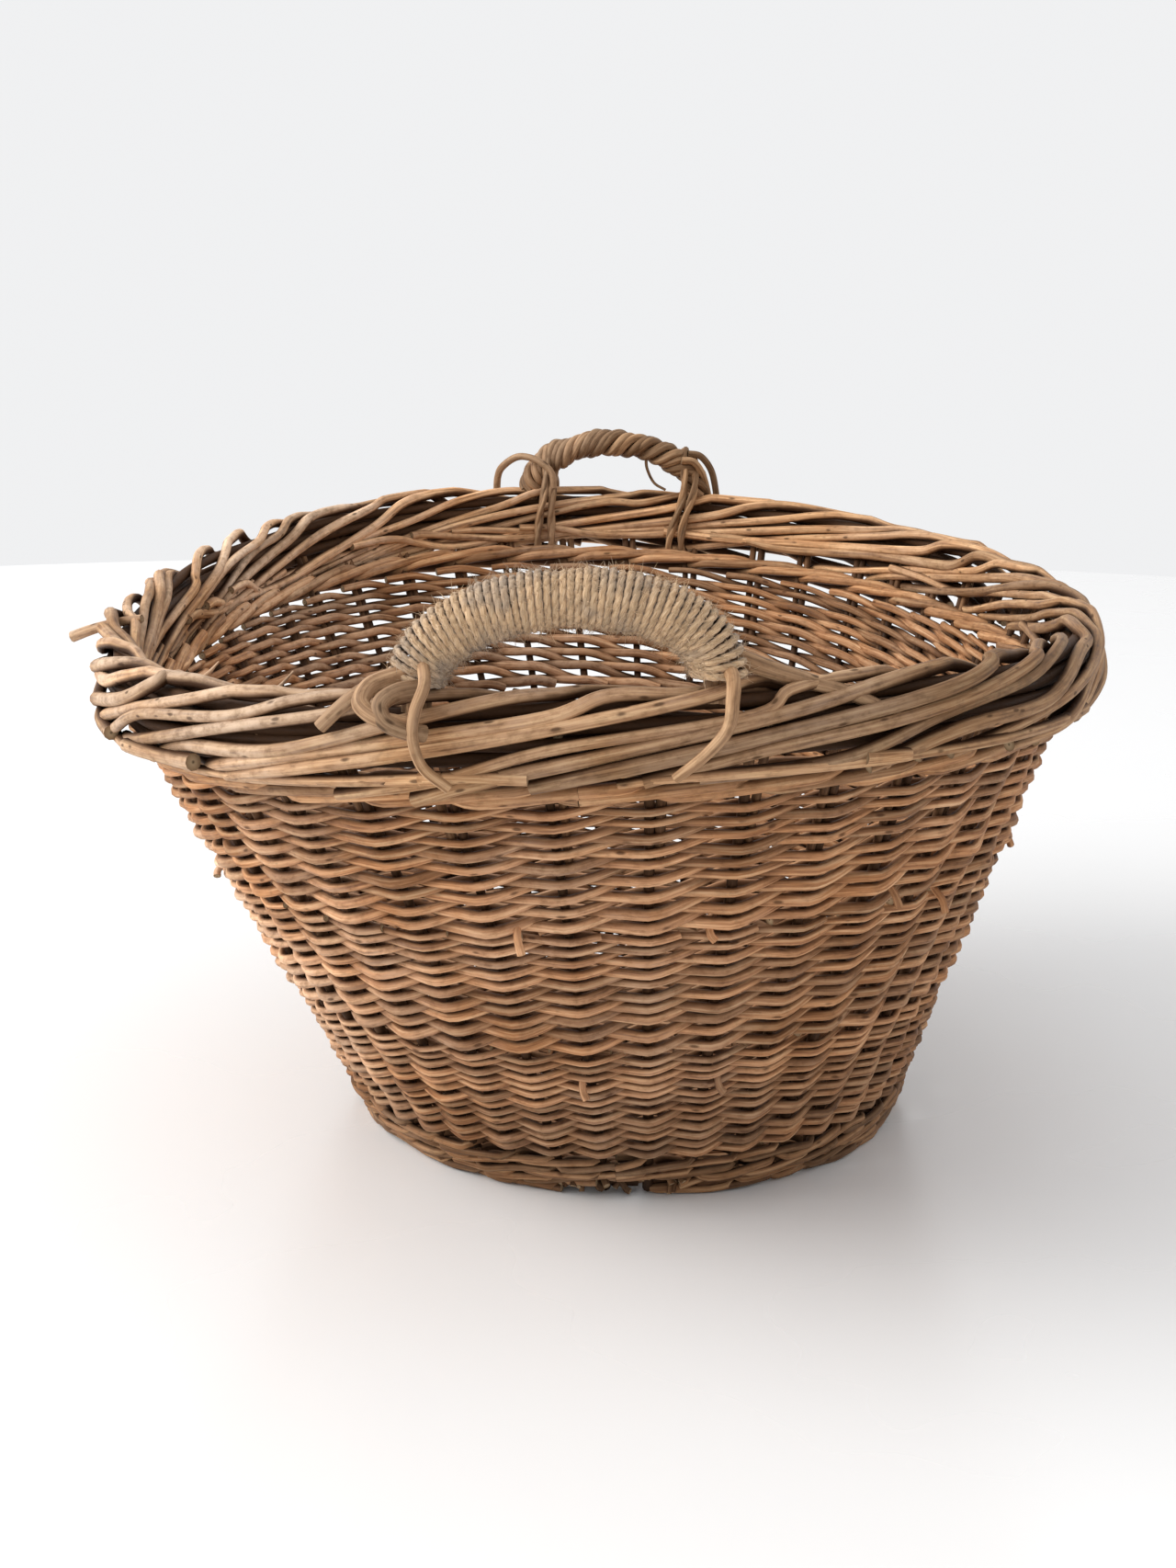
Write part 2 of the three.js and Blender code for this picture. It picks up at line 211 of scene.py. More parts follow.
def smooth_line(controls, steps):
    """A smooth line through control points, which are the first axis of controls."""
    controls = np.asarray(controls, float)
    first = 2 * controls[:1] - controls[1:2]
    last = 2 * controls[-1:] - controls[-2:-1]
    padded = np.concatenate([first, controls, last])
    position = np.linspace(0, len(controls) - 1, steps)
    start = np.minimum(position.astype(int), len(controls) - 2)
    t = (position - start).reshape((-1,) + (1,) * (controls.ndim - 1))
    a, b, c, d = (padded[start + i] for i in range(4))
    return 0.5 * (
        2 * b + (c - a) * t + (2 * a - 5 * b + 4 * c - d) * t**2 + (3 * b - a - 3 * c + d) * t**3
    )


BEND_TIGHTNESS = 0.95


def angular(angle):
    """A wave like the cosine, with straighter flanks and tighter bends."""
    return np.arcsin(BEND_TIGHTNESS * np.cos(angle)) / math.asin(BEND_TIGHTNESS)


def wander(rng, rods, steps, knots, size):
    """A smooth random drift along each rod, of about the given size."""
    return smooth_line(rng.normal(0, size, (knots, rods)), steps).T


def distance_along(line):
    """The distance travelled from the start of a line to each of its points."""
    return np.concatenate([[0], np.cumsum(np.linalg.norm(np.diff(line, axis=0), axis=-1))])


# The wear level of a rod's sides in the work, between its hidden and outer faces,
# and of its ends; the lower the level, the darker the painted shade.
SIDE_WEAR_AND_SHADE = 0.42
END_WEAR_AND_SHADE = 0.6
# The cut attribute in the middle of a sawn end, where the pith is; it is 1 at the end's edge.
PITH_CUT = 0.55


class RodMesh:
    """Gathers round rods, with the attributes their material reads, and makes one mesh of them.

    grain: distance along the rod and place in its section, so that streaks follow the rod
    tone: a random number for each rod
    wear: 0 deep in the work to 1 on its outermost faces; the material paints shade
    where it is low, and silvers worn faces where it is high
    cut: 1 on a sawn or broken end
    """

    def __init__(self, seed):
        self.rng = np.random.default_rng(seed)
        self.points = []
        self.faces = []
        self.values = {"grain": [], "tone": [], "wear": [], "cut": []}
        self.count = 0

    def _store(self, points, grain, tone, wear, cut):
        self.points.append(points.reshape(-1, 3))
        self.values["grain"].append(grain.reshape(-1, 3))
        for name, value in (("tone", tone), ("wear", wear), ("cut", cut)):
            self.values[name].append(np.broadcast_to(value, points.shape[:-1]).ravel())
        first = self.count
        self.count += len(self.points[-1])
        return first

    def add(self, paths, radii, sides=8, depth=None, outward=None, reach=7 * MM, wear=0.7):
        """Adds rods along paths of shape (rods, steps, 3), or one rod along a path (steps, 3).

        Where outward is given, a point's wear value comes from how far out of the work it
        faces: depth is the path's own distance along outward, and reach that of the outermost
        faces.
        """
        paths = np.asarray(paths, float)
        if paths.ndim == 2:
            paths = paths[None]
        rods, steps = paths.shape[:2]
        radii = np.broadcast_to(radii, (rods, steps))
        tangent = unit(np.gradient(paths, axis=1))
        side = np.empty_like(paths)
        helper = np.where(np.abs(tangent[:, 0, 2:3]) < 0.8, [[0, 0, 1.0]], [[1.0, 0, 0]])
        side[:, 0] = unit(np.cross(tangent[:, 0], helper))
        for i in range(1, steps):
            level = side[:, i - 1]
            level = level - (level * tangent[:, i]).sum(-1, keepdims=True) * tangent[:, i]
            side[:, i] = unit(level)
        other = np.cross(tangent, side)
        angle = 2 * np.pi * np.arange(sides) / sides
        spoke = (
            side[:, :, None] * np.cos(angle)[:, None] + other[:, :, None] * np.sin(angle)[:, None]
        )
        points = paths[:, :, None] + spoke * radii[:, :, None, None]
        travelled = np.linalg.norm(np.diff(paths, axis=1), axis=-1)
        travelled = np.concatenate([np.zeros((rods, 1)), np.cumsum(travelled, 1)], 1)
        offset = self.rng.uniform(0, 40, (rods, 1, 1, 3))
        section = np.stack([0 * angle, np.cos(angle), np.sin(angle)], -1)
        grain = offset + section * radii[:, :, None, None]
        grain[..., 0] += travelled[:, :, None]
        tone = self.rng.uniform(0, 1, (rods, 1, 1))
        if outward is not None:
            facing = (spoke * outward[:, :, None]).sum(-1)
            exposed = facing * (depth[:, :, None] + facing * radii[:, :, None]) / reach
            wear = np.clip(SIDE_WEAR_AND_SHADE + (1 - SIDE_WEAR_AND_SHADE) * exposed, 0, 1)
        first = self._store(points, grain, tone, wear, 0.0)
        ring = np.arange(sides)
        across = np.roll(ring, -1)
        start = first + (np.arange(rods)[:, None] * steps + np.arange(steps - 1)) * sides
        quads = np.stack(
            [
                start[..., None] + ring,
                start[..., None] + across,
                start[..., None] + across + sides,
                start[..., None] + ring + sides,
            ],
            -1,
        )
        self.faces += quads.reshape(-1, 4)[:, ::-1].tolist()
        for end, flip in ((0, False), (steps - 1, True)):
            self._cap(paths, points, grain, tone, end, flip, sides)

    def _cap(self, paths, points, grain, tone, end, flip, sides):
        rods = len(paths)
        ring = points[:, end]
        middle = paths[:, end][:, None]
        cap = np.concatenate([ring, middle], 1)
        cap_grain = np.concatenate([grain[:, end], grain[:, end].mean(1, keepdims=True)], 1)
        shade = np.concatenate([np.ones((rods, sides)), np.full((rods, 1), PITH_CUT)], 1)
        first = self._store(cap, cap_grain, tone[:, 0], END_WEAR_AND_SHADE, shade)
        index = first + np.arange(rods)[:, None] * (sides + 1)
        around = np.arange(sides)
        a = index + around
        b = index + np.roll(around, -1)
        if flip:
            a, b = b, a
        faces = np.stack([a, b, np.broadcast_to(index + sides, a.shape)], -1)
        self.faces += faces.reshape(-1, 3).tolist()

    def make(self, name, material, slot, *nodes):
        """Makes the mesh a piece of the basket, in place of the given CAD nodes."""
        mesh = bpy.data.meshes.new(name)
        mesh.from_pydata(np.concatenate(self.points), [], self.faces)
        for value_name, parts in self.values.items():
            vector = value_name == "grain"
            kind = "FLOAT_VECTOR" if vector else "FLOAT"
            attribute = mesh.attributes.new(value_name, kind, "POINT")
            values = np.concatenate(parts).astype(np.float32)
            attribute.data.foreach_set("vector" if vector else "value", values.ravel())
        mesh.polygons.foreach_set("use_smooth", np.ones(len(mesh.polygons), bool))
        mesh.materials.append(material)
        mesh.update()
        piece = bpy.data.objects.new(name, mesh)
        bpy.context.scene.collection.objects.link(piece)
        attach(piece, "root")
        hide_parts(*nodes)


# ---------------------------------------------------------------- materials


class Nodes:
    """Shorthand for building a node tree."""

    def __init__(self, name):
        self.material = bpy.data.materials.new(name)
        self.material.use_nodes = True
        self.tree = self.material.node_tree
        self.tree.nodes.clear()

    def add(self, kind, inputs=None, **settings):
        made = self.tree.nodes.new(kind)
        for key, value in settings.items():
            setattr(made, key, value)
        for key, value in (inputs or {}).items():
            if isinstance(value, bpy.types.NodeSocket):
                self.tree.links.new(value, made.inputs[key])
            else:
                made.inputs[key].default_value = value
        return made

    def attribute(self, name):
        return self.add("ShaderNodeAttribute", attribute_name=name)

    def scaled(self, vector, scale):
        made = self.add("ShaderNodeVectorMath", {0: vector, 1: scale}, operation="MULTIPLY")
        return made.outputs["Vector"]

    def noise(self, vector, scale, detail=3.0, roughness=0.55):
        inputs = {"Vector": vector, "Scale": scale, "Detail": detail, "Roughness": roughness}
        return self.add("ShaderNodeTexNoise", inputs).outputs["Fac"]

    def math(self, operation, a, b=0.0, clamp=False):
        made = self.add("ShaderNodeMath", {0: a, 1: b}, operation=operation, use_clamp=clamp)
        return made.outputs["Value"]

    def remap(self, value, low, high, to_low=0.0, to_high=1.0):
        inputs = {
            "Value": value,
            "From Min": low,
            "From Max": high,
            "To Min": to_low,
            "To Max": to_high,
        }
        return self.add("ShaderNodeMapRange", inputs).outputs["Result"]

    def mix(self, share, a, b, blend="MIX"):
        made = self.add("ShaderNodeMix", data_type="RGBA", blend_type=blend)
        for socket, value in ((made.inputs[0], share), (made.inputs[6], a), (made.inputs[7], b)):
            if isinstance(value, bpy.types.NodeSocket):
                self.tree.links.new(value, socket)
            else:
                socket.default_value = (*value, 1) if isinstance(value, tuple) else value
        return made.outputs[2]

    def shaded(self, colour, level):
        """The colour made lighter or darker by a level."""
        grey = self.add("ShaderNodeCombineColor", {0: level, 1: level, 2: level}).outputs[0]
        return self.mix(1.0, colour, grey, "MULTIPLY")

    def ramp(self, value, stops):
        made = self.add("ShaderNodeValToRGB", {"Fac": value})
        elements = made.color_ramp.elements
        while len(elements) < len(stops):
            elements.new(0.5)
        for element, (position, colour) in zip(elements, stops):
            element.position = position
            element.color = (*colour, 1)
        return made.outputs["Color"]

    def finish(self, colour, roughness, height, bump_distance, bump_strength, **constants):
        bump = self.add(
            "ShaderNodeBump",
            {"Height": height, "Distance": bump_distance, "Strength": bump_strength},
        )
        inputs = {"Base Color": colour, "Roughness": roughness, "Normal": bump.outputs["Normal"]}
        shader = self.add("ShaderNodeBsdfPrincipled", inputs)
        for key, value in constants.items():
            shader.inputs[key.replace("_", " ")].default_value = value
        self.add("ShaderNodeOutputMaterial", {"Surface": shader.outputs["BSDF"]})
        return self.material


def willow(name, dark, middle, light, worn, silver_amount=0.7, gloss=0.0, far_tone=1.0):
    """Aged unpeeled willow: streaks along the rod, stains over the basket and worn outer faces,
    with painted shade in the crevices and painted light and shade across the basket.

    dark, middle, light: the streaks, worn: the silver of worn faces, laid on more as painted light
    on the -X side, far_tone: the level at the +Y end
    """
    n = Nodes(name)
    grain = n.attribute("grain").outputs["Vector"]
    tone = n.attribute("tone").outputs["Fac"]
    wear = n.attribute("wear").outputs["Fac"]
    cut = n.attribute("cut").outputs["Fac"]
    position = n.add("ShaderNodeTexCoord").outputs["Object"]
    streak = n.noise(n.scaled(grain, (26, 620, 620)), 1.0, 4.0, 0.6)
    fibre = n.noise(n.scaled(grain, (120, 2600, 2600)), 1.0, 2.0, 0.5)
    mottle = n.noise(n.scaled(grain, (160, 260, 260)), 1.0, 4.0, 0.65)
    stain = n.noise(position, 11.0, 4.0, 0.6)
    crevice_grime_and_shade = tuple(0.36 * c for c in dark)
    scar = tuple(0.35 * c for c in dark)

    colour = n.ramp(streak, [(0.28, dark), (0.5, middle), (0.72, light)])
    shift = n.remap(tone, 0.0, 1.0, 0.62, 1.3)
    varied = n.shaded(colour, shift)
    place = n.add("ShaderNodeSeparateXYZ", {0: position}).outputs
    across = place["X"]

    # Silvered where stained and worn; less towards the +X side, so the -X side is lighter, as
    # painted light.
    silver_wear_and_light = n.math("MULTIPLY", n.remap(stain, 0.38, 0.66), wear)
    silver_wear_and_light = n.math("MULTIPLY", silver_wear_and_light, n.remap(across, -0.22, 0.14, 1.0, 0.3))
    silver_wear_and_light = n.math("MULTIPLY", silver_wear_and_light, silver_amount, True)
    silver_wear_and_light = n.math("MULTIPLY", silver_wear_and_light, n.remap(mottle, 0.35, 0.62, 0.45, 1.0), True)
    varied = n.mix(silver_wear_and_light, varied, worn)
    # Painted shade, with some grime, in the crevices: the colour goes to a dark brown deep in the
    # work.
    varied = n.mix(n.remap(wear, 0.26, 0.64), crevice_grime_and_shade, varied)

    # Grime from a mottle; painted shade towards the +X side and painted light on the far -X side;
    # a level along towards the +Y end; darker near the floor, partly grime, partly painted shadow.
    grime = n.remap(mottle, 0.3, 0.5, 0.72, 1.0)
    grime_and_painted_light = n.math("MULTIPLY", grime, n.remap(across, -0.05, 0.24, 1.0, 0.84))
    grime_and_painted_light = n.math("MULTIPLY", grime_and_painted_light, n.remap(across, -0.26, -0.08, 1.12, 1.0))
    grime_and_painted_light = n.math("MULTIPLY", grime_and_painted_light, n.remap(place["Y"], -0.05, 0.34, 1.0, far_tone))
    grime_and_painted_light = n.math("MULTIPLY", grime_and_painted_light, n.remap(place["Z"], 0.0, 0.1, 0.55, 1.0))
    varied = n.shaded(varied, grime_and_painted_light)

    # Bud scars along the rods, and cut ends with a dark pith.
    speck = n.add(
        "ShaderNodeTexVoronoi", {"Vector": n.scaled(grain, (55, 150, 150)), "Scale": 1.0}
    ).outputs["Distance"]
    speck = n.remap(speck, 0.08, 0.16, 0.75, 0.0)
    varied = n.mix(speck, varied, scar)
    pith = (PITH_CUT, (0.05, 0.03, 0.018))
    end_stops = [pith, (0.68, (0.38, 0.27, 0.16)), (1.0, (0.21, 0.13, 0.07))]
    varied = n.mix(n.remap(cut, 0.0, 0.5), varied, n.ramp(cut, end_stops))

    roughness = n.remap(n.math("ADD", streak, mottle), 0.7, 1.3, 0.5 - gloss, 0.8 - gloss)
    height = n.math("ADD", n.math("MULTIPLY", fibre, 0.35), n.math("MULTIPLY", mottle, 0.65))
    height = n.math("SUBTRACT", height, n.math("MULTIPLY", speck, 0.6))
    return n.finish(varied, roughness, height, 0.0006, 0.55, Specular_IOR_Level=0.14)


def twine_material(name):
    """Coarse jute twine, beige with blue-grey soiling where hands hold it, and painted shade
    between its turns.
    """
    n = Nodes(name)
    grain = n.attribute("grain").outputs["Vector"]
    tone = n.attribute("tone").outputs["Fac"]
    wear = n.attribute("wear").outputs["Fac"]
    position = n.add("ShaderNodeTexCoord").outputs["Object"]
    fibre = n.noise(n.scaled(grain, (220, 2600, 2600)), 1.0, 3.0, 0.6)
    blotch = n.noise(n.scaled(grain, (16, 60, 60)), 1.0, 3.0, 0.6)
    soil = n.noise(position, 34.0, 3.0, 0.6)
    colour = n.ramp(
        fibre, [(0.3, (0.38, 0.22, 0.11)), (0.5, (0.65, 0.44, 0.255)), (0.7, (0.82, 0.61, 0.40))]
    )
    shift = n.remap(blotch, 0.3, 0.7, 0.68, 1.2)
    shift = n.math("MULTIPLY", shift, n.remap(tone, 0.0, 1.0, 0.9, 1.1))
    colour = n.shaded(colour, shift)
    dirt = n.math("MULTIPLY", n.remap(soil, 0.5, 0.66), 0.45)
    colour = n.mix(dirt, colour, (0.24, 0.22, 0.21))
    # Painted shade between the turns and plies, darkest deep in the wrap.
    colour = n.shaded(colour, n.remap(wear, 0.12, 0.8, 0.34, 1.0))
    roughness = n.remap(fibre, 0.3, 0.7, 0.85, 0.98)
    return n.finish(
        colour, roughness, fibre, 0.0008, 0.7, Specular_IOR_Level=0.2, Sheen_Weight=0.25
    )


WEAVE = willow(
    "weave_willow",
    (0.17, 0.063, 0.024),
    (0.46, 0.215, 0.092),
    (0.73, 0.45, 0.25),
    (0.92, 0.67, 0.48),
    far_tone=0.74,
)
WALE = willow(
    "wale_willow",
    (0.15, 0.06, 0.024),
    (0.41, 0.2, 0.088),
    (0.66, 0.40, 0.21),
    (0.74, 0.52, 0.35),
)
STAKE = willow(
    "stake_willow",
    (0.08, 0.034, 0.015),
    (0.20, 0.094, 0.042),
    (0.36, 0.20, 0.10),
    (0.44, 0.28, 0.165),
)
BORDER = willow(
    "border_willow",
    (0.145, 0.062, 0.026),
    (0.39, 0.21, 0.10),
    (0.64, 0.41, 0.225),
    (0.72, 0.55, 0.41),
    silver_amount=0.85,
    far_tone=1.4,
)
HANDLE = willow(
    "handle_willow",
    (0.13, 0.063, 0.028),
    (0.32, 0.178, 0.088),
    (0.54, 0.345, 0.195),
    (0.60, 0.43, 0.30),
    gloss=0.08,
)
TWINE = twine_material("twine")

# ---------------------------------------------------------------- stakes

# Shares of the wall that the stakes pass, and those that the rods beside them pass.
STAKE_SHARES = np.linspace(0.01, 1.06, 48)
BYE_STAKE_SHARES = np.linspace(0.8, 1.055, 14)


def stake_radius(share):
    return (2.65 - 0.5 * share) * MM


def add_stakes():
    """The stakes, each with a second rod beside it at the top, which shows in the open gap."""
    rng = np.random.default_rng(11)
    share = STAKE_SHARES
    for number in range(STAKE_COUNT):
        rods = RodMesh(100 + number)
        drift = wander(rng, 1, len(share), 7, 0.5 * MM)[0] / BORDER_LINE.length
        place = stake_place(number) + drift
        # Each stake is dark with painted shade below the top of the weave, lighter above it in the
        # open gap.
        rods.add(
            wall_middle(place, share),
            stake_radius(share) * rng.uniform(0.94, 1.1),
            wear=np.interp(share, (0.95, 0.97), (0.33, 0.55))[:, None],
        )
        shift = rng.choice([-1, 1]) * rng.uniform(4.6, 7.0) * MM / BORDER_LINE.length
        bye_place = stake_place(number) + shift * np.linspace(0.8, 1.15, len(BYE_STAKE_SHARES))
        bye = wall_middle(bye_place, BYE_STAKE_SHARES)
        rods.add(bye, rng.uniform(1.9, 2.5) * MM, wear=SIDE_WEAR_AND_SHADE)
        label = f"{number + 1:02d}"
        rods.make(f"willow_stake_{label}", STAKE, "stake_willow", f"stake_{label}")


# ---------------------------------------------------------------- bands of randing

STEPS_PER_GAP = 8
# How far the weavers are pressed into the stakes, and how far out their outermost faces come.
WEAVE_SQUEEZE = 0.4 * MM
WEAVE_REACH = 6.3 * MM

# Weavers' ends left hanging outside: the stake they hang at, share of the wall, and length in mm.
LOWER_STUBS = ((45.9, 0.315, 6), (2.2, 0.31, 4), (14, 0.3, 5), (31, 0.31, 4))
MIDDLE_STUBS = ((20, 0.4, 5), (36, 0.39, 4))
UPPER_STUBS = (
    (45.4, 0.68, 9),
    (1.75, 0.675, 4),
    (4.35, 0.705, 7),
    (5.6, 0.66, 8),
    (9, 0.68, 5),
    (28, 0.68, 6),
    (39, 0.67, 4),
)
# Node of the band, shares of the wall, seed, layers, a weaver's radius at each end in mm, stubs.
BANDS = (
    ("lower_band", FOOT_WALE_TOP, LOWER_BAND_TOP, 201, 24, 2.2, 1.75, LOWER_STUBS),
    ("middle_band", LOWER_BAND_TOP, MIDDLE_BAND_TOP, 211, 19, 2.75, 1.95, MIDDLE_STUBS),
    ("upper_band", MIDDLE_BAND_TOP, UPPER_BAND_TOP, 221, 18, 2.75, 1.95, UPPER_STUBS),
)


def add_stub(rods, place, share, length):
    """The end of a rod that comes out beside a stake and hangs down outside the wall."""
    start = wall_middle(place, share)
    outward = wall_outward(place, share)
    along = np.array([outward[1], -outward[0], 0])
    down = np.array([0, 0, -1.0])
    controls = [
        start - outward * 3 * MM - along * 4 * MM,
        start + outward * 2 * MM,
        start + outward * 6.5 * MM + down * 2 * MM,
        start + outward * 7.5 * MM + down * length - along * 2.5 * MM,
    ]
    rods.add(smooth_line(controls, 18), np.linspace(1.5, 2.0, 18) * MM, wear=0.65)


def add_band(node, low, high, seed, layers, butt, tip, stubs):
    """A band of English randing, between two shares of the wall.

    A weaver starts at each stake, thick end first, and climbs a layer a stake. It goes inside
    its first stake, then outside and inside by turns.
    """
    rods = RodMesh(seed)
    rng = np.random.default_rng(seed + 1)
    steps = int((layers + 0.8) * STEPS_PER_GAP) + 1
    travel = np.linspace(-0.4, layers + 0.4, steps)
    number = np.arange(STAKE_COUNT)[:, None]
    place = stake_place(number + travel)
    climb = travel - 0.1 * np.sin(2 * np.pi * travel) + wander(rng, STAKE_COUNT, steps, 12, 0.17)
    level = np.clip(climb / layers, -0.02, 1.02)
    mean = (butt + tip) / 2
    raised = level + (butt - mean) / mean * level * (1 - level)
    share = low + 0.008 + (high - low - 0.014) * raised
    thinning = butt + (tip - butt) * np.clip(travel / layers, 0, 1)
    fuller = 1.1 - 0.1 * np.cos(2 * np.pi * place)
    radius = thinning * fuller * rng.uniform(0.84, 1.14, (STAKE_COUNT, 1))
    swing = stake_radius(share) + radius - WEAVE_SQUEEZE
    depth = -swing * angular(np.pi * travel) + wander(rng, STAKE_COUNT, steps, 14, 0.4 * MM)
    outward = wall_outward(place, share)
    paths = wall_middle(place, share) + outward * depth[..., None]
    rods.add(paths, radius, depth=depth, outward=outward, reach=WEAVE_REACH)
    for stake, stub_share, length in stubs:
        add_stub(rods, stake_place(stake), stub_share, length * MM)
    rods.make(f"willow_{node}", WEAVE, "weave_willow", node)


# ---------------------------------------------------------------- wales

WALE_SQUEEZE = 0.3 * MM
FLOOR_GAP = 0.3 * MM


def add_wale_round(rods, rng, share, strands, radius, start=0, end=1, slack=0.0, reach=7 * MM):
    """A round of waling: each strand goes in front of two stakes and behind the rest, by turns."""
    steps = int(STAKE_COUNT * 8 * (end - start)) + 1
    place = np.linspace(start, end, steps)[None]
    strand = np.arange(strands)[:, None]
    stakes = place * STAKE_COUNT - FIRST_STAKE_SHIFT
    turn = 2 * np.pi * (stakes - strand) / strands
    lean = math.cos(math.pi * 2 / strands)
    wave = np.clip(2.0 * (np.cos(turn) - lean), -1, 1)
    wave = wave * (1.5 - 0.5 * wave**2)
    share_here = np.full_like(turn, share)
    size = radius * rng.uniform(0.9, 1.12, (strands, 1))
    size = size * (1 + wander(rng, strands, steps, 30, 0.05))
    swing = stake_radius(share_here) + radius - WALE_SQUEEZE
    depth = swing * wave + wander(rng, strands, steps, 40, 0.3 * MM + slack)
    rise = radius * 1.05 * np.sin(turn) + wander(rng, strands, steps, 40, 0.25 * MM + slack)
    outward = wall_outward(place, share_here)
    middle = wall_middle(place, share_here)
    upward = unit(wall_middle(place, share_here + SHARE_STEP) - middle)
    paths = middle + outward * depth[..., None] + upward * rise[..., None]
    paths[..., 2] = np.maximum(paths[..., 2], size + FLOOR_GAP)
    rods.add(paths, size, depth=depth, outward=outward, reach=reach)


def add_top_wale():
    rods = RodMesh(301)
    rng = np.random.default_rng(302)
    add_wale_round(rods, rng, TOP_WALE_TOP - 0.02, 4, 2.9 * MM)
    rods.make("willow_top_wale", WALE, "wale_willow", "top_wale")


# Rounds of the foot: share of the wall, and the places between which the round is unbroken.
FOOT_ROUNDS = ((0.018, 0.016, 0.972), (0.04, 0.03, 0.99), (0.062, 0, 1), (0.085, 0, 1))
# Where the foot is worn through at the -Y end: the places that the rods left inside run between,
# and the share of the wall and depth in mm of each.
BROKEN_SPANS = ((0.955, 1.007), (1.0135, 1.055))
BROKEN_RODS = ((0.012, -3), (0.026, -1.5), (0.034, -4))
# The places that splinters stand between, and how many.
SPLINTERS = ((0.962, 1.002, 26), (1.014, 1.05, 18))


def add_foot_wale():
    rods = RodMesh(311)
    rng = np.random.default_rng(312)
    for share, start, end in FOOT_ROUNDS:
        # The wider reach darkens the foot's rods: partly grime, partly painted shadow by the floor.
        add_wale_round(rods, rng, share, 3, 2.1 * MM, start, end, 0.9 * MM, 10 * MM)
    add_broken_foot(rods, rng)
    rods.make("willow_foot_wale", WALE, "wale_willow", "foot_wale")


def add_broken_foot(rods, rng):
    """What is left of the rods where the foot has worn through, and their splintered ends."""
    for start, end in BROKEN_SPANS:
        for share, depth in BROKEN_RODS:
            place = np.linspace(start, end, 24) + 0.002 * rng.normal()
            line = wall_middle(place, share) + wall_outward(place, share) * depth * MM
            line[:, 2] = np.maximum(line[:, 2] + rng.normal(0, 0.4 * MM), 2.6 * MM)
            # The rods left inside are set low, for dark painted shade.
            rods.add(line, 2.4 * MM, wear=0.3)
    for place in np.concatenate([rng.uniform(*group) for group in SPLINTERS]):
        share = rng.uniform(0.02, 0.05)
        start = wall_middle(place, share)
        outward = wall_outward(place, share)
        along = np.array([-outward[1], outward[0], 0])
        rise = np.array([0, 0, rng.normal(-0.2, 0.3)])
        lean = unit(along * rng.normal(0, 1.0) + outward * rng.uniform(0.1, 0.7) + rise)
        length = np.linspace(-4, rng.uniform(5, 11), 6)[:, None] * MM
        line = start - outward * 2 * MM + lean * length
        line[:, 2] = np.maximum(line[:, 2], 2.2 * MM)
        rods.add(line, rng.uniform(1.1, 2.0) * MM, 7, wear=rng.uniform(0.3, 0.6))


# ---------------------------------------------------------------- border

# One border rod: stake spacings travelled, then drop below the top and distance out
# from the border's middle, in mm.
BORDER_ROUTE = (
    (0.02, 44, -5),
    (-0.1, 40, -6),
    (-0.8, 33, -8.6),
    (-2.6, 23, -10.2),
    (-4.4, 12.5, -9.6),
    (-5.3, 6.3, -6.4),
    (-5.9, 3.8, 0),
    (-6.5, 6, 6.4),
    (-7.3, 12.5, 9.8),
    (-8.7, 23, 10.2),
    (-10.1, 33.5, 9.8),
    (-11.2, 43, 2.5),
)
# The first controls of a rod that starts with its cut butt showing on the inner face.
BUTT_START = ((0.75, 28, -12.4), (0.2, 28.6, -12), (-0.8, 27.5, -10.8))
# A short rod filling out the lower outer face, its butt showing at the +X end.
FILLER_ROUTE = ((0.9, 36.5, 10.5), (0.2, 37.3, 10.5), (-1, 39, 8), (-2.8, 43, 2))
# Thin rods that cross the gap under the border on the -X side, and the places they stand between.
CROSSING_ROUTE = ((0.5, 47, -7), (0.1, 44, -8), (-0.9, 39, -9), (-2.2, 32, -8.5))
CROSSING_COUNT = 20
CROSSING_SPAN = (0.56, 0.86)
# Hidden rods that fill the border's middle, but not at the middle of the +X side: drop and depth
# in mm of each, and their radius in mm at places round the border.
CORE_RODS = ((11, 0), (18, 3), (18, -3), (25, 3), (25, -3), (31.5, 0))
CORE_PLACES = (0.34, 0.36, 1.22, 1.24)
CORE_RADII = (0.6, 3.2, 3.2, 0.6)
CORE_STEPS = 300
# The points passed by a rod's end that stands out of the border on the -X side, in mm.
STRAY_ROD = (
    (-236, -92, 280),
    (-246, -89, 278),
    (-257, -86, 275),
    (-266, -84, 272),
    (-276, -82, 268),
)
# Splinters on the border's top near the -Y end: place, depth and thickness in mm.
BORDER_SPLINTERS = ((0.9, -8, 1.4), (0.93, -5, 0.9))


def inner_fullness(place):
    """How far down the border's inner rods come: least at the roped handle, most on the -X side."""
    place = np.mod(place, 1)
    side = 0.3 * np.exp(-(((place - 0.69) / 0.14) ** 2))
    return 1.07 + side - 0.07 * np.exp(-(((place - 0.46) / 0.04) ** 2))


def add_border_rods(rods, rng, number, route, butt, tip, steps):
    """A rod from each of the stakes numbered, along its own route; route is (controls, rods, 3)."""
    line = smooth_line(route, steps).transpose(1, 0, 2)
    count = len(number)
    place = stake_place(number[:, None] + line[..., 0])
    drop = np.maximum(line[..., 1], 3.2) * MM
    depth = line[..., 2] * MM
    paths = border_point(place, drop, depth)
    radius = np.linspace(butt, tip, steps) * rng.uniform(0.86, 1.14, (count, 1))
    radius = radius * (1 + wander(rng, count, steps, 9, 0.035))
    # Faces turned in towards the border's core get painted shade, those on its outside get silver.
    level = BORDER_LINE.outward(place)
    raised = 0.6 * (21 * MM - drop)[..., None]
    radial = np.concatenate([level * depth[..., None], raised], -1)
    exposed = np.clip(np.linalg.norm(radial, axis=-1), 6.5 * MM, 10 * MM)
    outward = unit(radial)
    rods.add(paths, radius, 10, depth=exposed, outward=outward, reach=11.5 * MM)


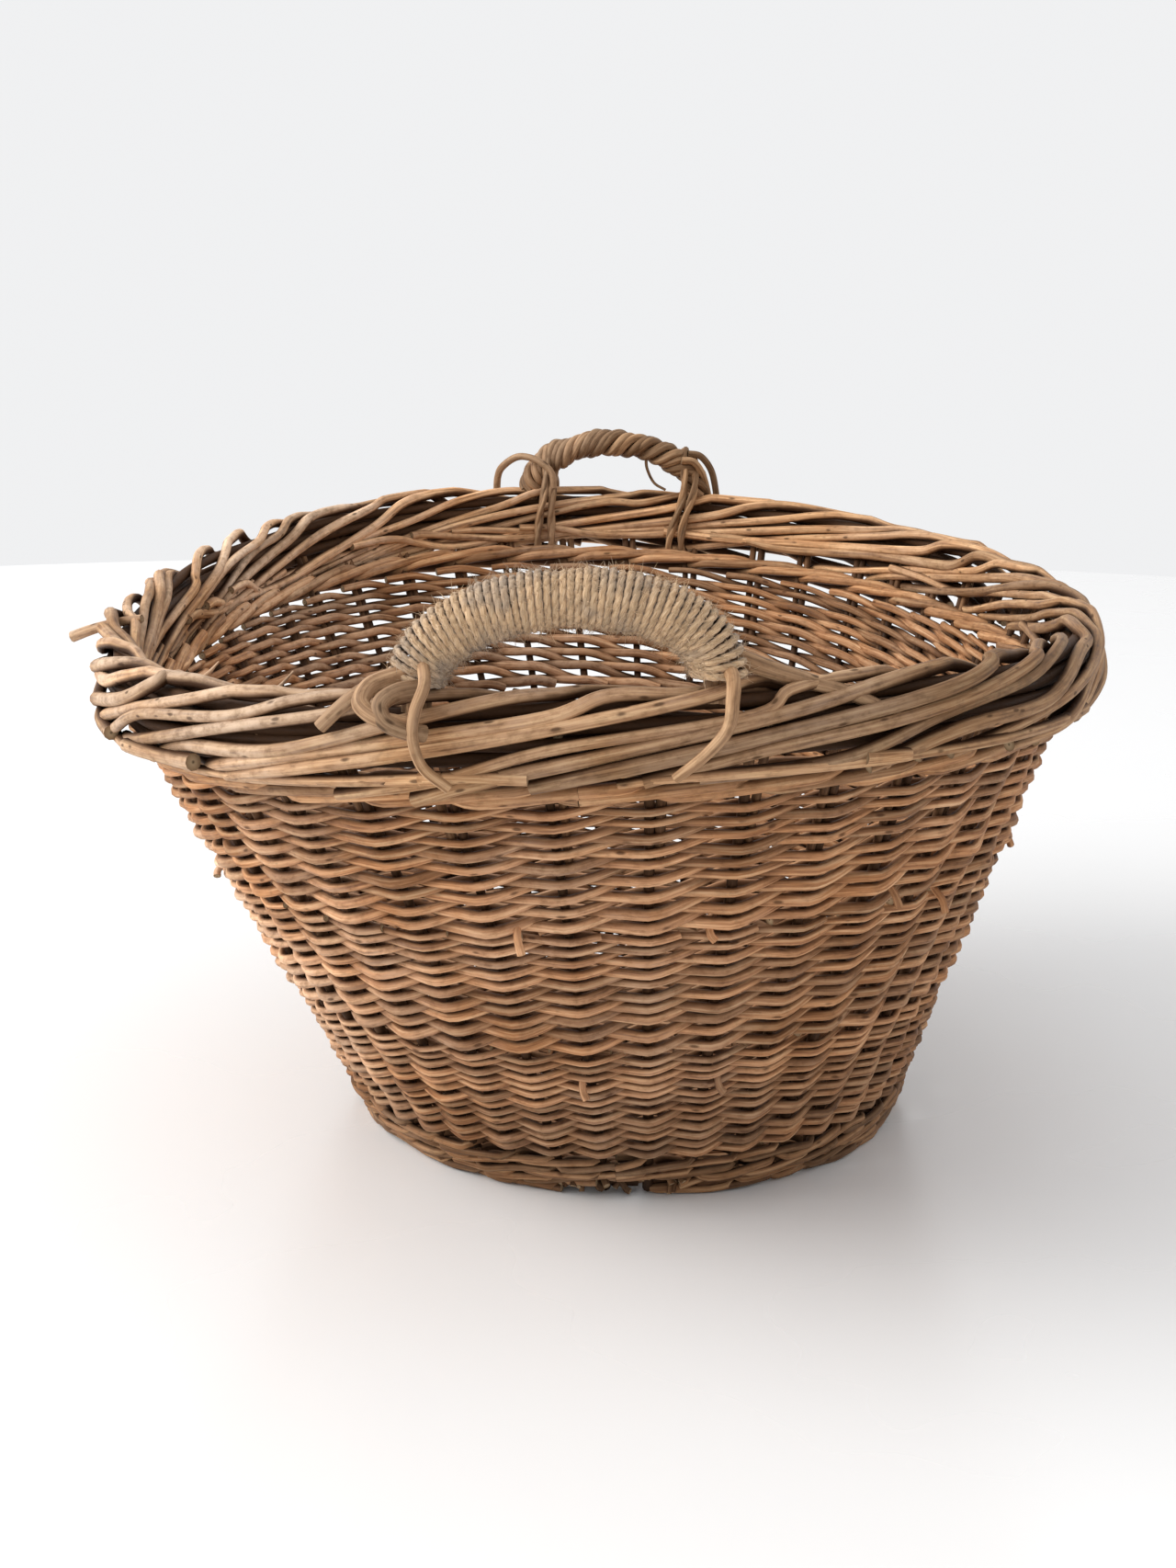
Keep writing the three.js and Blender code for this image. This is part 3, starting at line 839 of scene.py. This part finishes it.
def add_border():
    rods = RodMesh(401)
    rng = np.random.default_rng(402)
    number = np.arange(STAKE_COUNT)
    route = np.repeat(np.array(BORDER_ROUTE, float)[:, None], STAKE_COUNT, 1)
    shows_butt = rng.uniform(0, 1, STAKE_COUNT) < 0.5
    for step, control in enumerate(BUTT_START):
        route[step, shows_butt] = control
    route[:, :, 0] += rng.normal(0, 0.14, route.shape[:2]) + rng.normal(0, 0.16, STAKE_COUNT)
    route[2:, :, 1] += rng.normal(0, 1.8, route[2:, :, 1].shape)
    route[2:, :, 2] += rng.normal(0, 1.1, route[2:, :, 2].shape)
    route[8:, :, 1] += rng.normal(0, 2.2, STAKE_COUNT)
    route[8:, :, 2] += rng.normal(0, 0.9, STAKE_COUNT)
    route[2:5, :, 1] *= inner_fullness(stake_place(number))
    add_border_rods(rods, rng, number, route, 2.65 * MM, 3.25 * MM, 74)

    place = np.linspace(CORE_PLACES[0], CORE_PLACES[-1], CORE_STEPS)
    thickness = np.interp(place, CORE_PLACES, CORE_RADII) * MM
    for drop, depth in CORE_RODS:
        drift = wander(rng, 2, CORE_STEPS, 24, 0.8 * MM)
        line = border_point(place, drop * MM + drift[0], depth * MM + drift[1])
        # The hidden core rods are set low, so painted shade darkens the gaps between the border's
        # rods.
        rods.add(line, thickness, wear=0.27)

    start = np.arange(0, STAKE_COUNT, 3)
    filler = np.repeat(np.array(FILLER_ROUTE, float)[:, None], len(start), 1)
    filler += rng.normal(0, 0.5, filler.shape)
    filler[:, :, 0] += rng.uniform(-1, 1, len(start))
    add_border_rods(rods, rng, start, filler, 3.5 * MM, 2.2 * MM, 30)

    route = np.repeat(np.array(CROSSING_ROUTE, float)[:, None], CROSSING_COUNT, 1)
    route += rng.normal(0, 0.7, route.shape)
    route[:, :, 0] += rng.uniform(-0.6, 0.6, CROSSING_COUNT)
    start = np.round(np.linspace(*CROSSING_SPAN, CROSSING_COUNT) * STAKE_COUNT)
    add_border_rods(rods, rng, start, route, 2.0 * MM, 2.3 * MM, 24)

    stray = smooth_line(np.array(STRAY_ROD) * MM, 24)
    rods.add(stray, np.linspace(2.2, 3.0, 24) * MM, wear=1.0)
    for place, depth, size in BORDER_SPLINTERS:
        foot = border_point(place, 3 * MM, depth * MM)
        splinter = foot + np.array([[0, 0, 0], [3, 0, 3], [7, 1, 7.5]]) * MM
        rods.add(smooth_line(splinter, 8), np.linspace(size, 0.4, 8) * MM, wear=0.9)
    rods.make("willow_border", BORDER, "border_willow", "border")


# ---------------------------------------------------------------- base

SPOKES = 20
BASE_ROUNDS = 34
SLATH_OVAL = Oval(17 * MM, 52 * MM, 2, 0, BASE_OFFSET)
BASE_EDGE = Oval(144.5 * MM, 167.5 * MM, 2, 0, BASE_OFFSET)
# The sticks that run lengthwise, and those across, each by the two spokes that are its ends.
LENGTHWISE_STICKS = ((0, 10), (1, 9), (19, 11))
CROSS_STICKS = tuple((spoke, SPOKES - spoke) for spoke in range(2, 9))
STICK_SHARES = (0.985, 0.7, 0.4, 0.12, 0.0)


def base_point(place, share, height):
    """Points of the base, from a share of 0 at its slath to 1 at its edge."""
    inner = SLATH_OVAL.point(place)
    outer = BASE_EDGE.point(place)
    plan = inner + (outer - inner) * np.asarray(share)[..., None]
    level = np.broadcast_to(height, plan.shape[:-1])
    return np.concatenate([plan, level[..., None]], -1)


def add_base():
    sticks = RodMesh(501)
    for pairs, lift in ((LENGTHWISE_STICKS, 0.6), (CROSS_STICKS, -0.6)):
        for first, last in pairs:
            height = BASE_MIDDLE + lift * MM
            inward = [base_point(first / SPOKES, share, height) for share in STICK_SHARES]
            back = [base_point(last / SPOKES, share, height) for share in STICK_SHARES[::-1]]
            sticks.add(smooth_line(inward + back, 60), 3.1 * MM, wear=0.5)
    sticks.make("willow_base_sticks", STAKE, "stake_willow", "base_slath")

    weave = RodMesh(511)
    rng = np.random.default_rng(512)
    steps = SPOKES * 9 + 1
    place = np.linspace(0, 1, steps)[None] + np.zeros((BASE_ROUNDS, 1))
    ring = np.arange(BASE_ROUNDS)[:, None]
    share = (ring + 0.5) / BASE_ROUNDS + wander(rng, BASE_ROUNDS, steps, 16, 0.1 / BASE_ROUNDS)
    share = np.clip(share, 0.005, 0.99)
    side = np.where(ring % 2 == 0, 1, -1)
    depth = 3.6 * MM * side * np.cos(np.pi * SPOKES * place)
    radius = 1.85 * MM * rng.uniform(0.9, 1.08, (BASE_ROUNDS, 1))
    up = np.broadcast_to([0, 0, 1.0], (BASE_ROUNDS, steps, 3))
    paths = base_point(place, share, BASE_MIDDLE + depth)
    weave.add(paths, radius, 7, depth=depth, outward=up, reach=5.5 * MM)
    weave.make("willow_base_weave", WEAVE, "weave_willow", "base_weave")


# ---------------------------------------------------------------- handles

# The step either side of a point of an arch over which its direction is measured.
ARCH_STEP = 0.012


class Bow:
    """A bow handle standing on the border at one end of the basket."""

    def __init__(self, end, rise, half_span, roundness, shift):
        self.y = end * (RIM_HALF_LENGTH - HANDLE_INSET)
        self.middle = RIM_SKEW * self.y + shift
        x = np.linspace(-1, 1, 401)
        angle = np.pi * (1 - (x + 1) / 2)
        arch = half_span * swell(np.cos(angle), roundness)
        plan = np.stack([self.middle + arch, np.full_like(arch, self.y)], -1)
        height = rim_top(plan) + rise * swell(np.maximum(0, np.sin(angle)), roundness)
        self.line = np.concatenate([plan, height[:, None]], -1)
        self.travelled = distance_along(self.line)
        self.length = self.travelled[-1]

    def point(self, share):
        """Points along the arch; a share below 0 or above 1 runs down a leg into the border."""
        inside = np.clip(share, 0, 1) * self.length
        made = [np.interp(inside, self.travelled, self.line[:, i]) for i in range(3)]
        under = np.maximum(0, -share) + np.maximum(0, share - 1)
        made[2] = made[2] - under * self.length
        return np.stack(made, -1)

    def section(self, share):
        """The direction along the arch, and the one away from its middle."""
        along = unit(self.point(share + ARCH_STEP) - self.point(share - ARCH_STEP))
        return along, np.cross(along, [0, -1.0, 0])

    def around(self, share, angle, reach):
        """Points round the arch: at angle 0 outwards from it, at a quarter turn towards -Y."""
        _, away = self.section(share)
        turned = away * np.cos(angle)[..., None] + np.array([0, -1.0, 0]) * np.sin(angle)[..., None]
        return self.point(share) + turned * np.asarray(reach)[..., None]


NEAR_BOW = Bow(-1, WRAPPED_RISE, 62 * MM, 2.1, -4.5 * MM)
FAR_BOW = Bow(1, ROPED_RISE, 57.5 * MM, 1.9, 0)
# The legs run on below an arch by this share of its length.
NOMINAL_ARCH_LENGTH = 190 * MM
LEG_SHARE = HANDLE_LEG_DEPTH / NOMINAL_ARCH_LENGTH

TWINE_TURNS = 49
TWINE_STEPS = TWINE_TURNS * 40
TWINE_PLY_RADIUS = 1.5 * MM
TWINE_PLY_PITCH = 9 * MM
# From the arch's line to the middle of the twine.
TWINE_REACH = 10.7 * MM
LOOSE_FIBRES = 5200
ROPE_STRANDS = 6
ROPE_TURNS = 4.1
ROPE_STEPS = 150
FREE_ROD_STEPS = 40

# Rods that have come loose: their radius at the start and end, and the points they pass, in mm.
NEAR_LOOSE_RODS = (
    (2.7, 2.3, ((-58, -364, 309), (-55.5, -377, 306), (-54, -388, 301), (-57.5, -391, 291),
                (-58.5, -390.5, 280), (-54.5, -389.5, 268), (-44, -388, 259))),
    (3.3, 2.3, ((66, -364, 308), (70, -378, 305), (70, -389, 298), (68.5, -391, 287),
                (60, -390, 276), (47.5, -388, 265))),
    (4.4, 2.6, ((66, -362, 313), (82, -361, 307), (100, -357, 301),
                (120, -350, 294), (140, -343, 284))),
)
# The ends of the wrapped bow's rods, curled into a knot at its -X foot.
NEAR_KNOT_RODS = (
    (4.2, 3.6, ((-57, -368, 303), (-67, -372, 302), (-77, -378, 299),
                (-80, -385, 293), (-73, -389, 288), (-62, -387, 285))),
    (4.0, 3.6, ((-56, -375, 298), (-66, -381, 297), (-72, -387, 293),
                (-70, -390, 287), (-62, -389, 283), (-54, -385, 281))),
    (3.6, 3.0, ((-60, -363, 301), (-72, -364, 299), (-83, -365, 294),
                (-92, -366, 287), (-100, -366, 279))),
)
FAR_LOOSE_RODS = (
    (2.6, 2.4, ((-89, 368, 298), (-88, 364, 312), (-84, 360, 320), (-73, 356, 327), (-60, 353, 325),
                (-50, 351.5, 317), (-48, 350, 306))),
    (2.7, 2.3, ((40, 355, 326), (48, 356, 325), (54, 359, 317), (58, 364, 304), (59, 368, 296))),
    (2.5, 2.2, ((44, 364, 330), (53, 366, 328), (60.5, 368, 318), (64, 371, 303), (64, 373, 296))),
    (1.25, 0.9, ((17, 362, 336), (15.5, 360, 328), (16, 359, 320), (21, 360, 310), (29, 361, 305))),
)


def add_free_rods(rods, table, wear):
    """Rods outside the work, from a table of their radii and the points they pass."""
    for start, end, controls in table:
        line = smooth_line(np.array(controls) * MM, FREE_ROD_STEPS)
        rods.add(line, np.linspace(start, end, FREE_ROD_STEPS) * MM, 10, wear=wear)


def add_near_handle():
    core = RodMesh(601)
    rng = np.random.default_rng(602)
    share = np.linspace(-LEG_SHARE, 1 + LEG_SHARE, 60)
    for strand in range(4):
        angle = 2 * np.pi * strand / 4 + 2.2 * share + rng.uniform(0, 0.5)
        core.add(NEAR_BOW.around(share, angle, 3.4 * MM), 3.1 * MM, wear=0.6)
    add_free_rods(core, NEAR_LOOSE_RODS, 0.9)
    add_free_rods(core, NEAR_KNOT_RODS, 0.6)
    core.make("willow_near_bow", HANDLE, "handle_willow", "near_handle_core")

    twine = RodMesh(611)
    share = np.linspace(0.004, 0.996, TWINE_STEPS)
    turn = 2 * np.pi * TWINE_TURNS * (share + 0.0012 * np.sin(23 * share))
    lumps = np.interp(share, np.linspace(0, 1, 60), rng.normal(0, 0.25 * MM, 60))
    swelling = 0.7 * np.exp(-(((share - 0.5) / 0.4) ** 2))
    dip = 1.3 * np.exp(-(((share - 0.49) / 0.05) ** 2))
    reach = TWINE_REACH + lumps + 0.2 * MM * np.sin(turn * 0.37) + (swelling - dip) * MM
    centre = NEAR_BOW.around(share + 0.004 * np.sin(turn), turn, reach)
    along = unit(np.gradient(centre, axis=0))
    away = unit(centre - NEAR_BOW.point(share))
    across = np.cross(along, away)
    travelled = distance_along(centre)
    outermost = TWINE_REACH + TWINE_PLY_RADIUS
    for ply in range(2):
        twist = (2 * np.pi * travelled / TWINE_PLY_PITCH + np.pi * ply)[:, None]
        line = centre + 0.4 * MM * (away * np.cos(twist) + across * np.sin(twist))
        twine.add(line, TWINE_PLY_RADIUS, 6, depth=reach[None], outward=away[None], reach=outermost)
    add_fuzz(twine, centre, away, rng)
    twine.make("jute_twine_wrap", TWINE, "twine", "near_handle_twine")


def add_fuzz(twine, centre, away, rng):
    """Short loose fibres standing out of the twine."""
    root = rng.integers(5, len(centre) - 5, LOOSE_FIBRES)
    start = centre[root] + away[root] * 1.2 * MM
    drift = unit(rng.normal(0, 1, (LOOSE_FIBRES, 3)) + 0.8 * away[root])
    bend = rng.normal(0, 1, (LOOSE_FIBRES, 3))
    length = rng.uniform(1.2, 4.2, (LOOSE_FIBRES, 1)) * MM
    t = np.linspace(0, 1, 4)[None, :, None]
    paths = start[:, None] + drift[:, None] * length[:, None] * t
    paths = paths + bend[:, None] * 0.4 * length[:, None] * t**2
    radius = np.array([0.13, 0.12, 0.09, 0.04])[None] * MM
    twine.add(paths, np.repeat(radius, LOOSE_FIBRES, 0), 3, wear=0.95)


def add_far_handle():
    core = RodMesh(621)
    rng = np.random.default_rng(622)
    share = np.linspace(-LEG_SHARE, 1 + LEG_SHARE, 60)
    core.add(FAR_BOW.point(share), 4.2 * MM, 12, wear=0.5)
    core.make("willow_far_bow", HANDLE, "handle_willow", "far_handle_core")

    rope = RodMesh(631)
    share = np.linspace(-0.02, 1.02, ROPE_STEPS)
    for strand in range(ROPE_STRANDS):
        turns = ROPE_TURNS + rng.normal(0, 0.08)
        angle = 2 * np.pi * (strand / ROPE_STRANDS + turns * share)
        angle = angle + wander(rng, 1, ROPE_STEPS, 12, 0.13)[0]
        reach = 6.2 * MM + wander(rng, 1, ROPE_STEPS, 18, 0.9 * MM)[0]
        line = FAR_BOW.around(share, angle, reach)
        rope.add(line, rng.uniform(2.5, 3.1) * MM, 10, wear=0.75)
    add_free_rods(rope, FAR_LOOSE_RODS, 0.75)
    rope.make("willow_far_rope", HANDLE, "handle_willow", "far_handle_rope")


def add_lashing_strand(rods, foot, head, top, rng):
    """Two thin rods twisted together, from under the border up both its faces and over the bow.

    foot, head: how far along X the strand is under the border and on the bow, top: its height there
    """
    middle = BORDER_LINE.point(0.5 - foot / BORDER_LINE.length)[1]
    height = rim_top(np.array([foot, middle]))
    half = BORDER_HALF_THICKNESS + 2.8 * MM
    shoulder = (foot + head) / 2
    controls = (
        (foot, middle, height - 44 * MM),
        (foot, middle - 0.8 * half, height - 42 * MM),
        (foot, middle - half, height - 31 * MM),
        (shoulder, middle - half - 1 * MM, height - 15 * MM),
        (head, middle - half + 1 * MM, height),
        (head, middle - 7 * MM, top - 6 * MM),
        (head, middle, top),
        (head, middle + 7 * MM, top - 6 * MM),
        (head, middle + half - 1 * MM, height),
        (shoulder, middle + half + 1 * MM, height - 15 * MM),
        (foot, middle + half, height - 31 * MM),
        (foot, middle + 0.8 * half, height - 42 * MM),
        (foot, middle, height - 44 * MM),
    )
    line = smooth_line(controls, 110)
    line = line + wander(rng, 3, 110, 9, 0.4 * MM).T
    along = unit(np.gradient(line, axis=0))
    side = unit(np.cross(along, [1.0, 0, 0]))
    across = np.cross(along, side)
    travelled = distance_along(line)
    for strand in range(2):
        twist = (2 * np.pi * travelled / (42 * MM) + np.pi * strand)[:, None]
        offset = 0.95 * MM * (side * np.cos(twist) + across * np.sin(twist))
        rods.add(line + offset, 2.0 * MM, 8, wear=0.8)


# Side, seed, and the foot, head and top of each strand, in mm.
LASHINGS = (
    ("left", 669, ((-59, -54, 333), (-49.5, -48.5, 318))),
    ("right", 670, ((33, 42, 332), (41, 49, 325))),
)


def add_lashings():
    rng = np.random.default_rng(641)
    for side, seed, strands in LASHINGS:
        rods = RodMesh(seed)
        for foot, head, top in strands:
            add_lashing_strand(rods, foot * MM, head * MM, top * MM, rng)
        rods.make(f"willow_lashing_{side}", HANDLE, "handle_willow", f"far_lashing_{side}")


# ---------------------------------------------------------------- surroundings

ROOM_COLOUR = (0.985, 0.99, 1.0, 1)
ROOM_STRENGTH = 0.885
WINDOW_PLACE = (-3.6, -0.6, 2.5)
WINDOW_AIM = Vector((0, 0, 0.2))
WINDOW_SIZE = (3.4, 2.8)
WINDOW_POWER = 190
WINDOW_COLOUR = (1.0, 0.99, 0.972)
FLOOR_COLOUR = (0.86, 0.86, 0.86, 1)
FLOOR_RINGS = (0.6, 1.2, 1.8, 2.35)
FLOOR_SIDES = 128


def add_light():
    scene = bpy.context.scene
    scene.view_settings.view_transform = "Standard"
    world = bpy.data.worlds.new("studio")
    world.use_nodes = True
    background = world.node_tree.nodes["Background"]
    background.inputs["Color"].default_value = ROOM_COLOUR
    background.inputs["Strength"].default_value = ROOM_STRENGTH
    scene.world = world

    light = bpy.data.lights.new("window", "AREA")
    light.shape = "RECTANGLE"
    light.size, light.size_y = WINDOW_SIZE
    light.energy = WINDOW_POWER
    light.color = WINDOW_COLOUR
    window = bpy.data.objects.new("window", light)
    scene.collection.objects.link(window)
    window.location = WINDOW_PLACE
    window.rotation_mode = "QUATERNION"
    aim = WINDOW_AIM - window.location
    window.rotation_quaternion = aim.to_track_quat("-Z", "Y")


def add_floor():
    """A round floor of several rings, a little glossy."""
    n = Nodes("studio_floor")
    position = n.add("ShaderNodeTexCoord").outputs["Object"]
    smear = n.noise(position, 3.0, 3.0, 0.5)
    roughness = n.remap(smear, 0.3, 0.7, 0.2, 0.34)
    material = n.finish(FLOOR_COLOUR, roughness, smear, 0.0002, 0.05, Specular_IOR_Level=0.45)

    sides = FLOOR_SIDES
    angle = 2 * np.pi * np.arange(sides) / sides
    points = [(0, 0, 0)]
    for radius in FLOOR_RINGS:
        points += [(radius * math.cos(a), radius * math.sin(a), 0) for a in angle]
    faces = [(0, 1 + i, 1 + (i + 1) % sides) for i in range(sides)]
    for ring in range(len(FLOOR_RINGS) - 1):
        first = 1 + ring * sides
        for i in range(sides):
            j = (i + 1) % sides
            faces.append((first + i, first + sides + i, first + sides + j, first + j))
    mesh = bpy.data.meshes.new("studio_floor")
    mesh.from_pydata(points, [], faces)
    mesh.materials.append(material)
    floor = bpy.data.objects.new("studio_floor", mesh)
    bpy.context.scene.collection.objects.link(floor)


# ---------------------------------------------------------------- the basket

add_stakes()
add_foot_wale()
for node, low, high, seed, layers, butt, tip, stubs in BANDS:
    add_band(node, low, high, seed, layers, butt * MM, tip * MM, stubs)
add_top_wale()
add_border()
add_base()
add_near_handle()
add_far_handle()
add_lashings()
add_light()
add_floor()
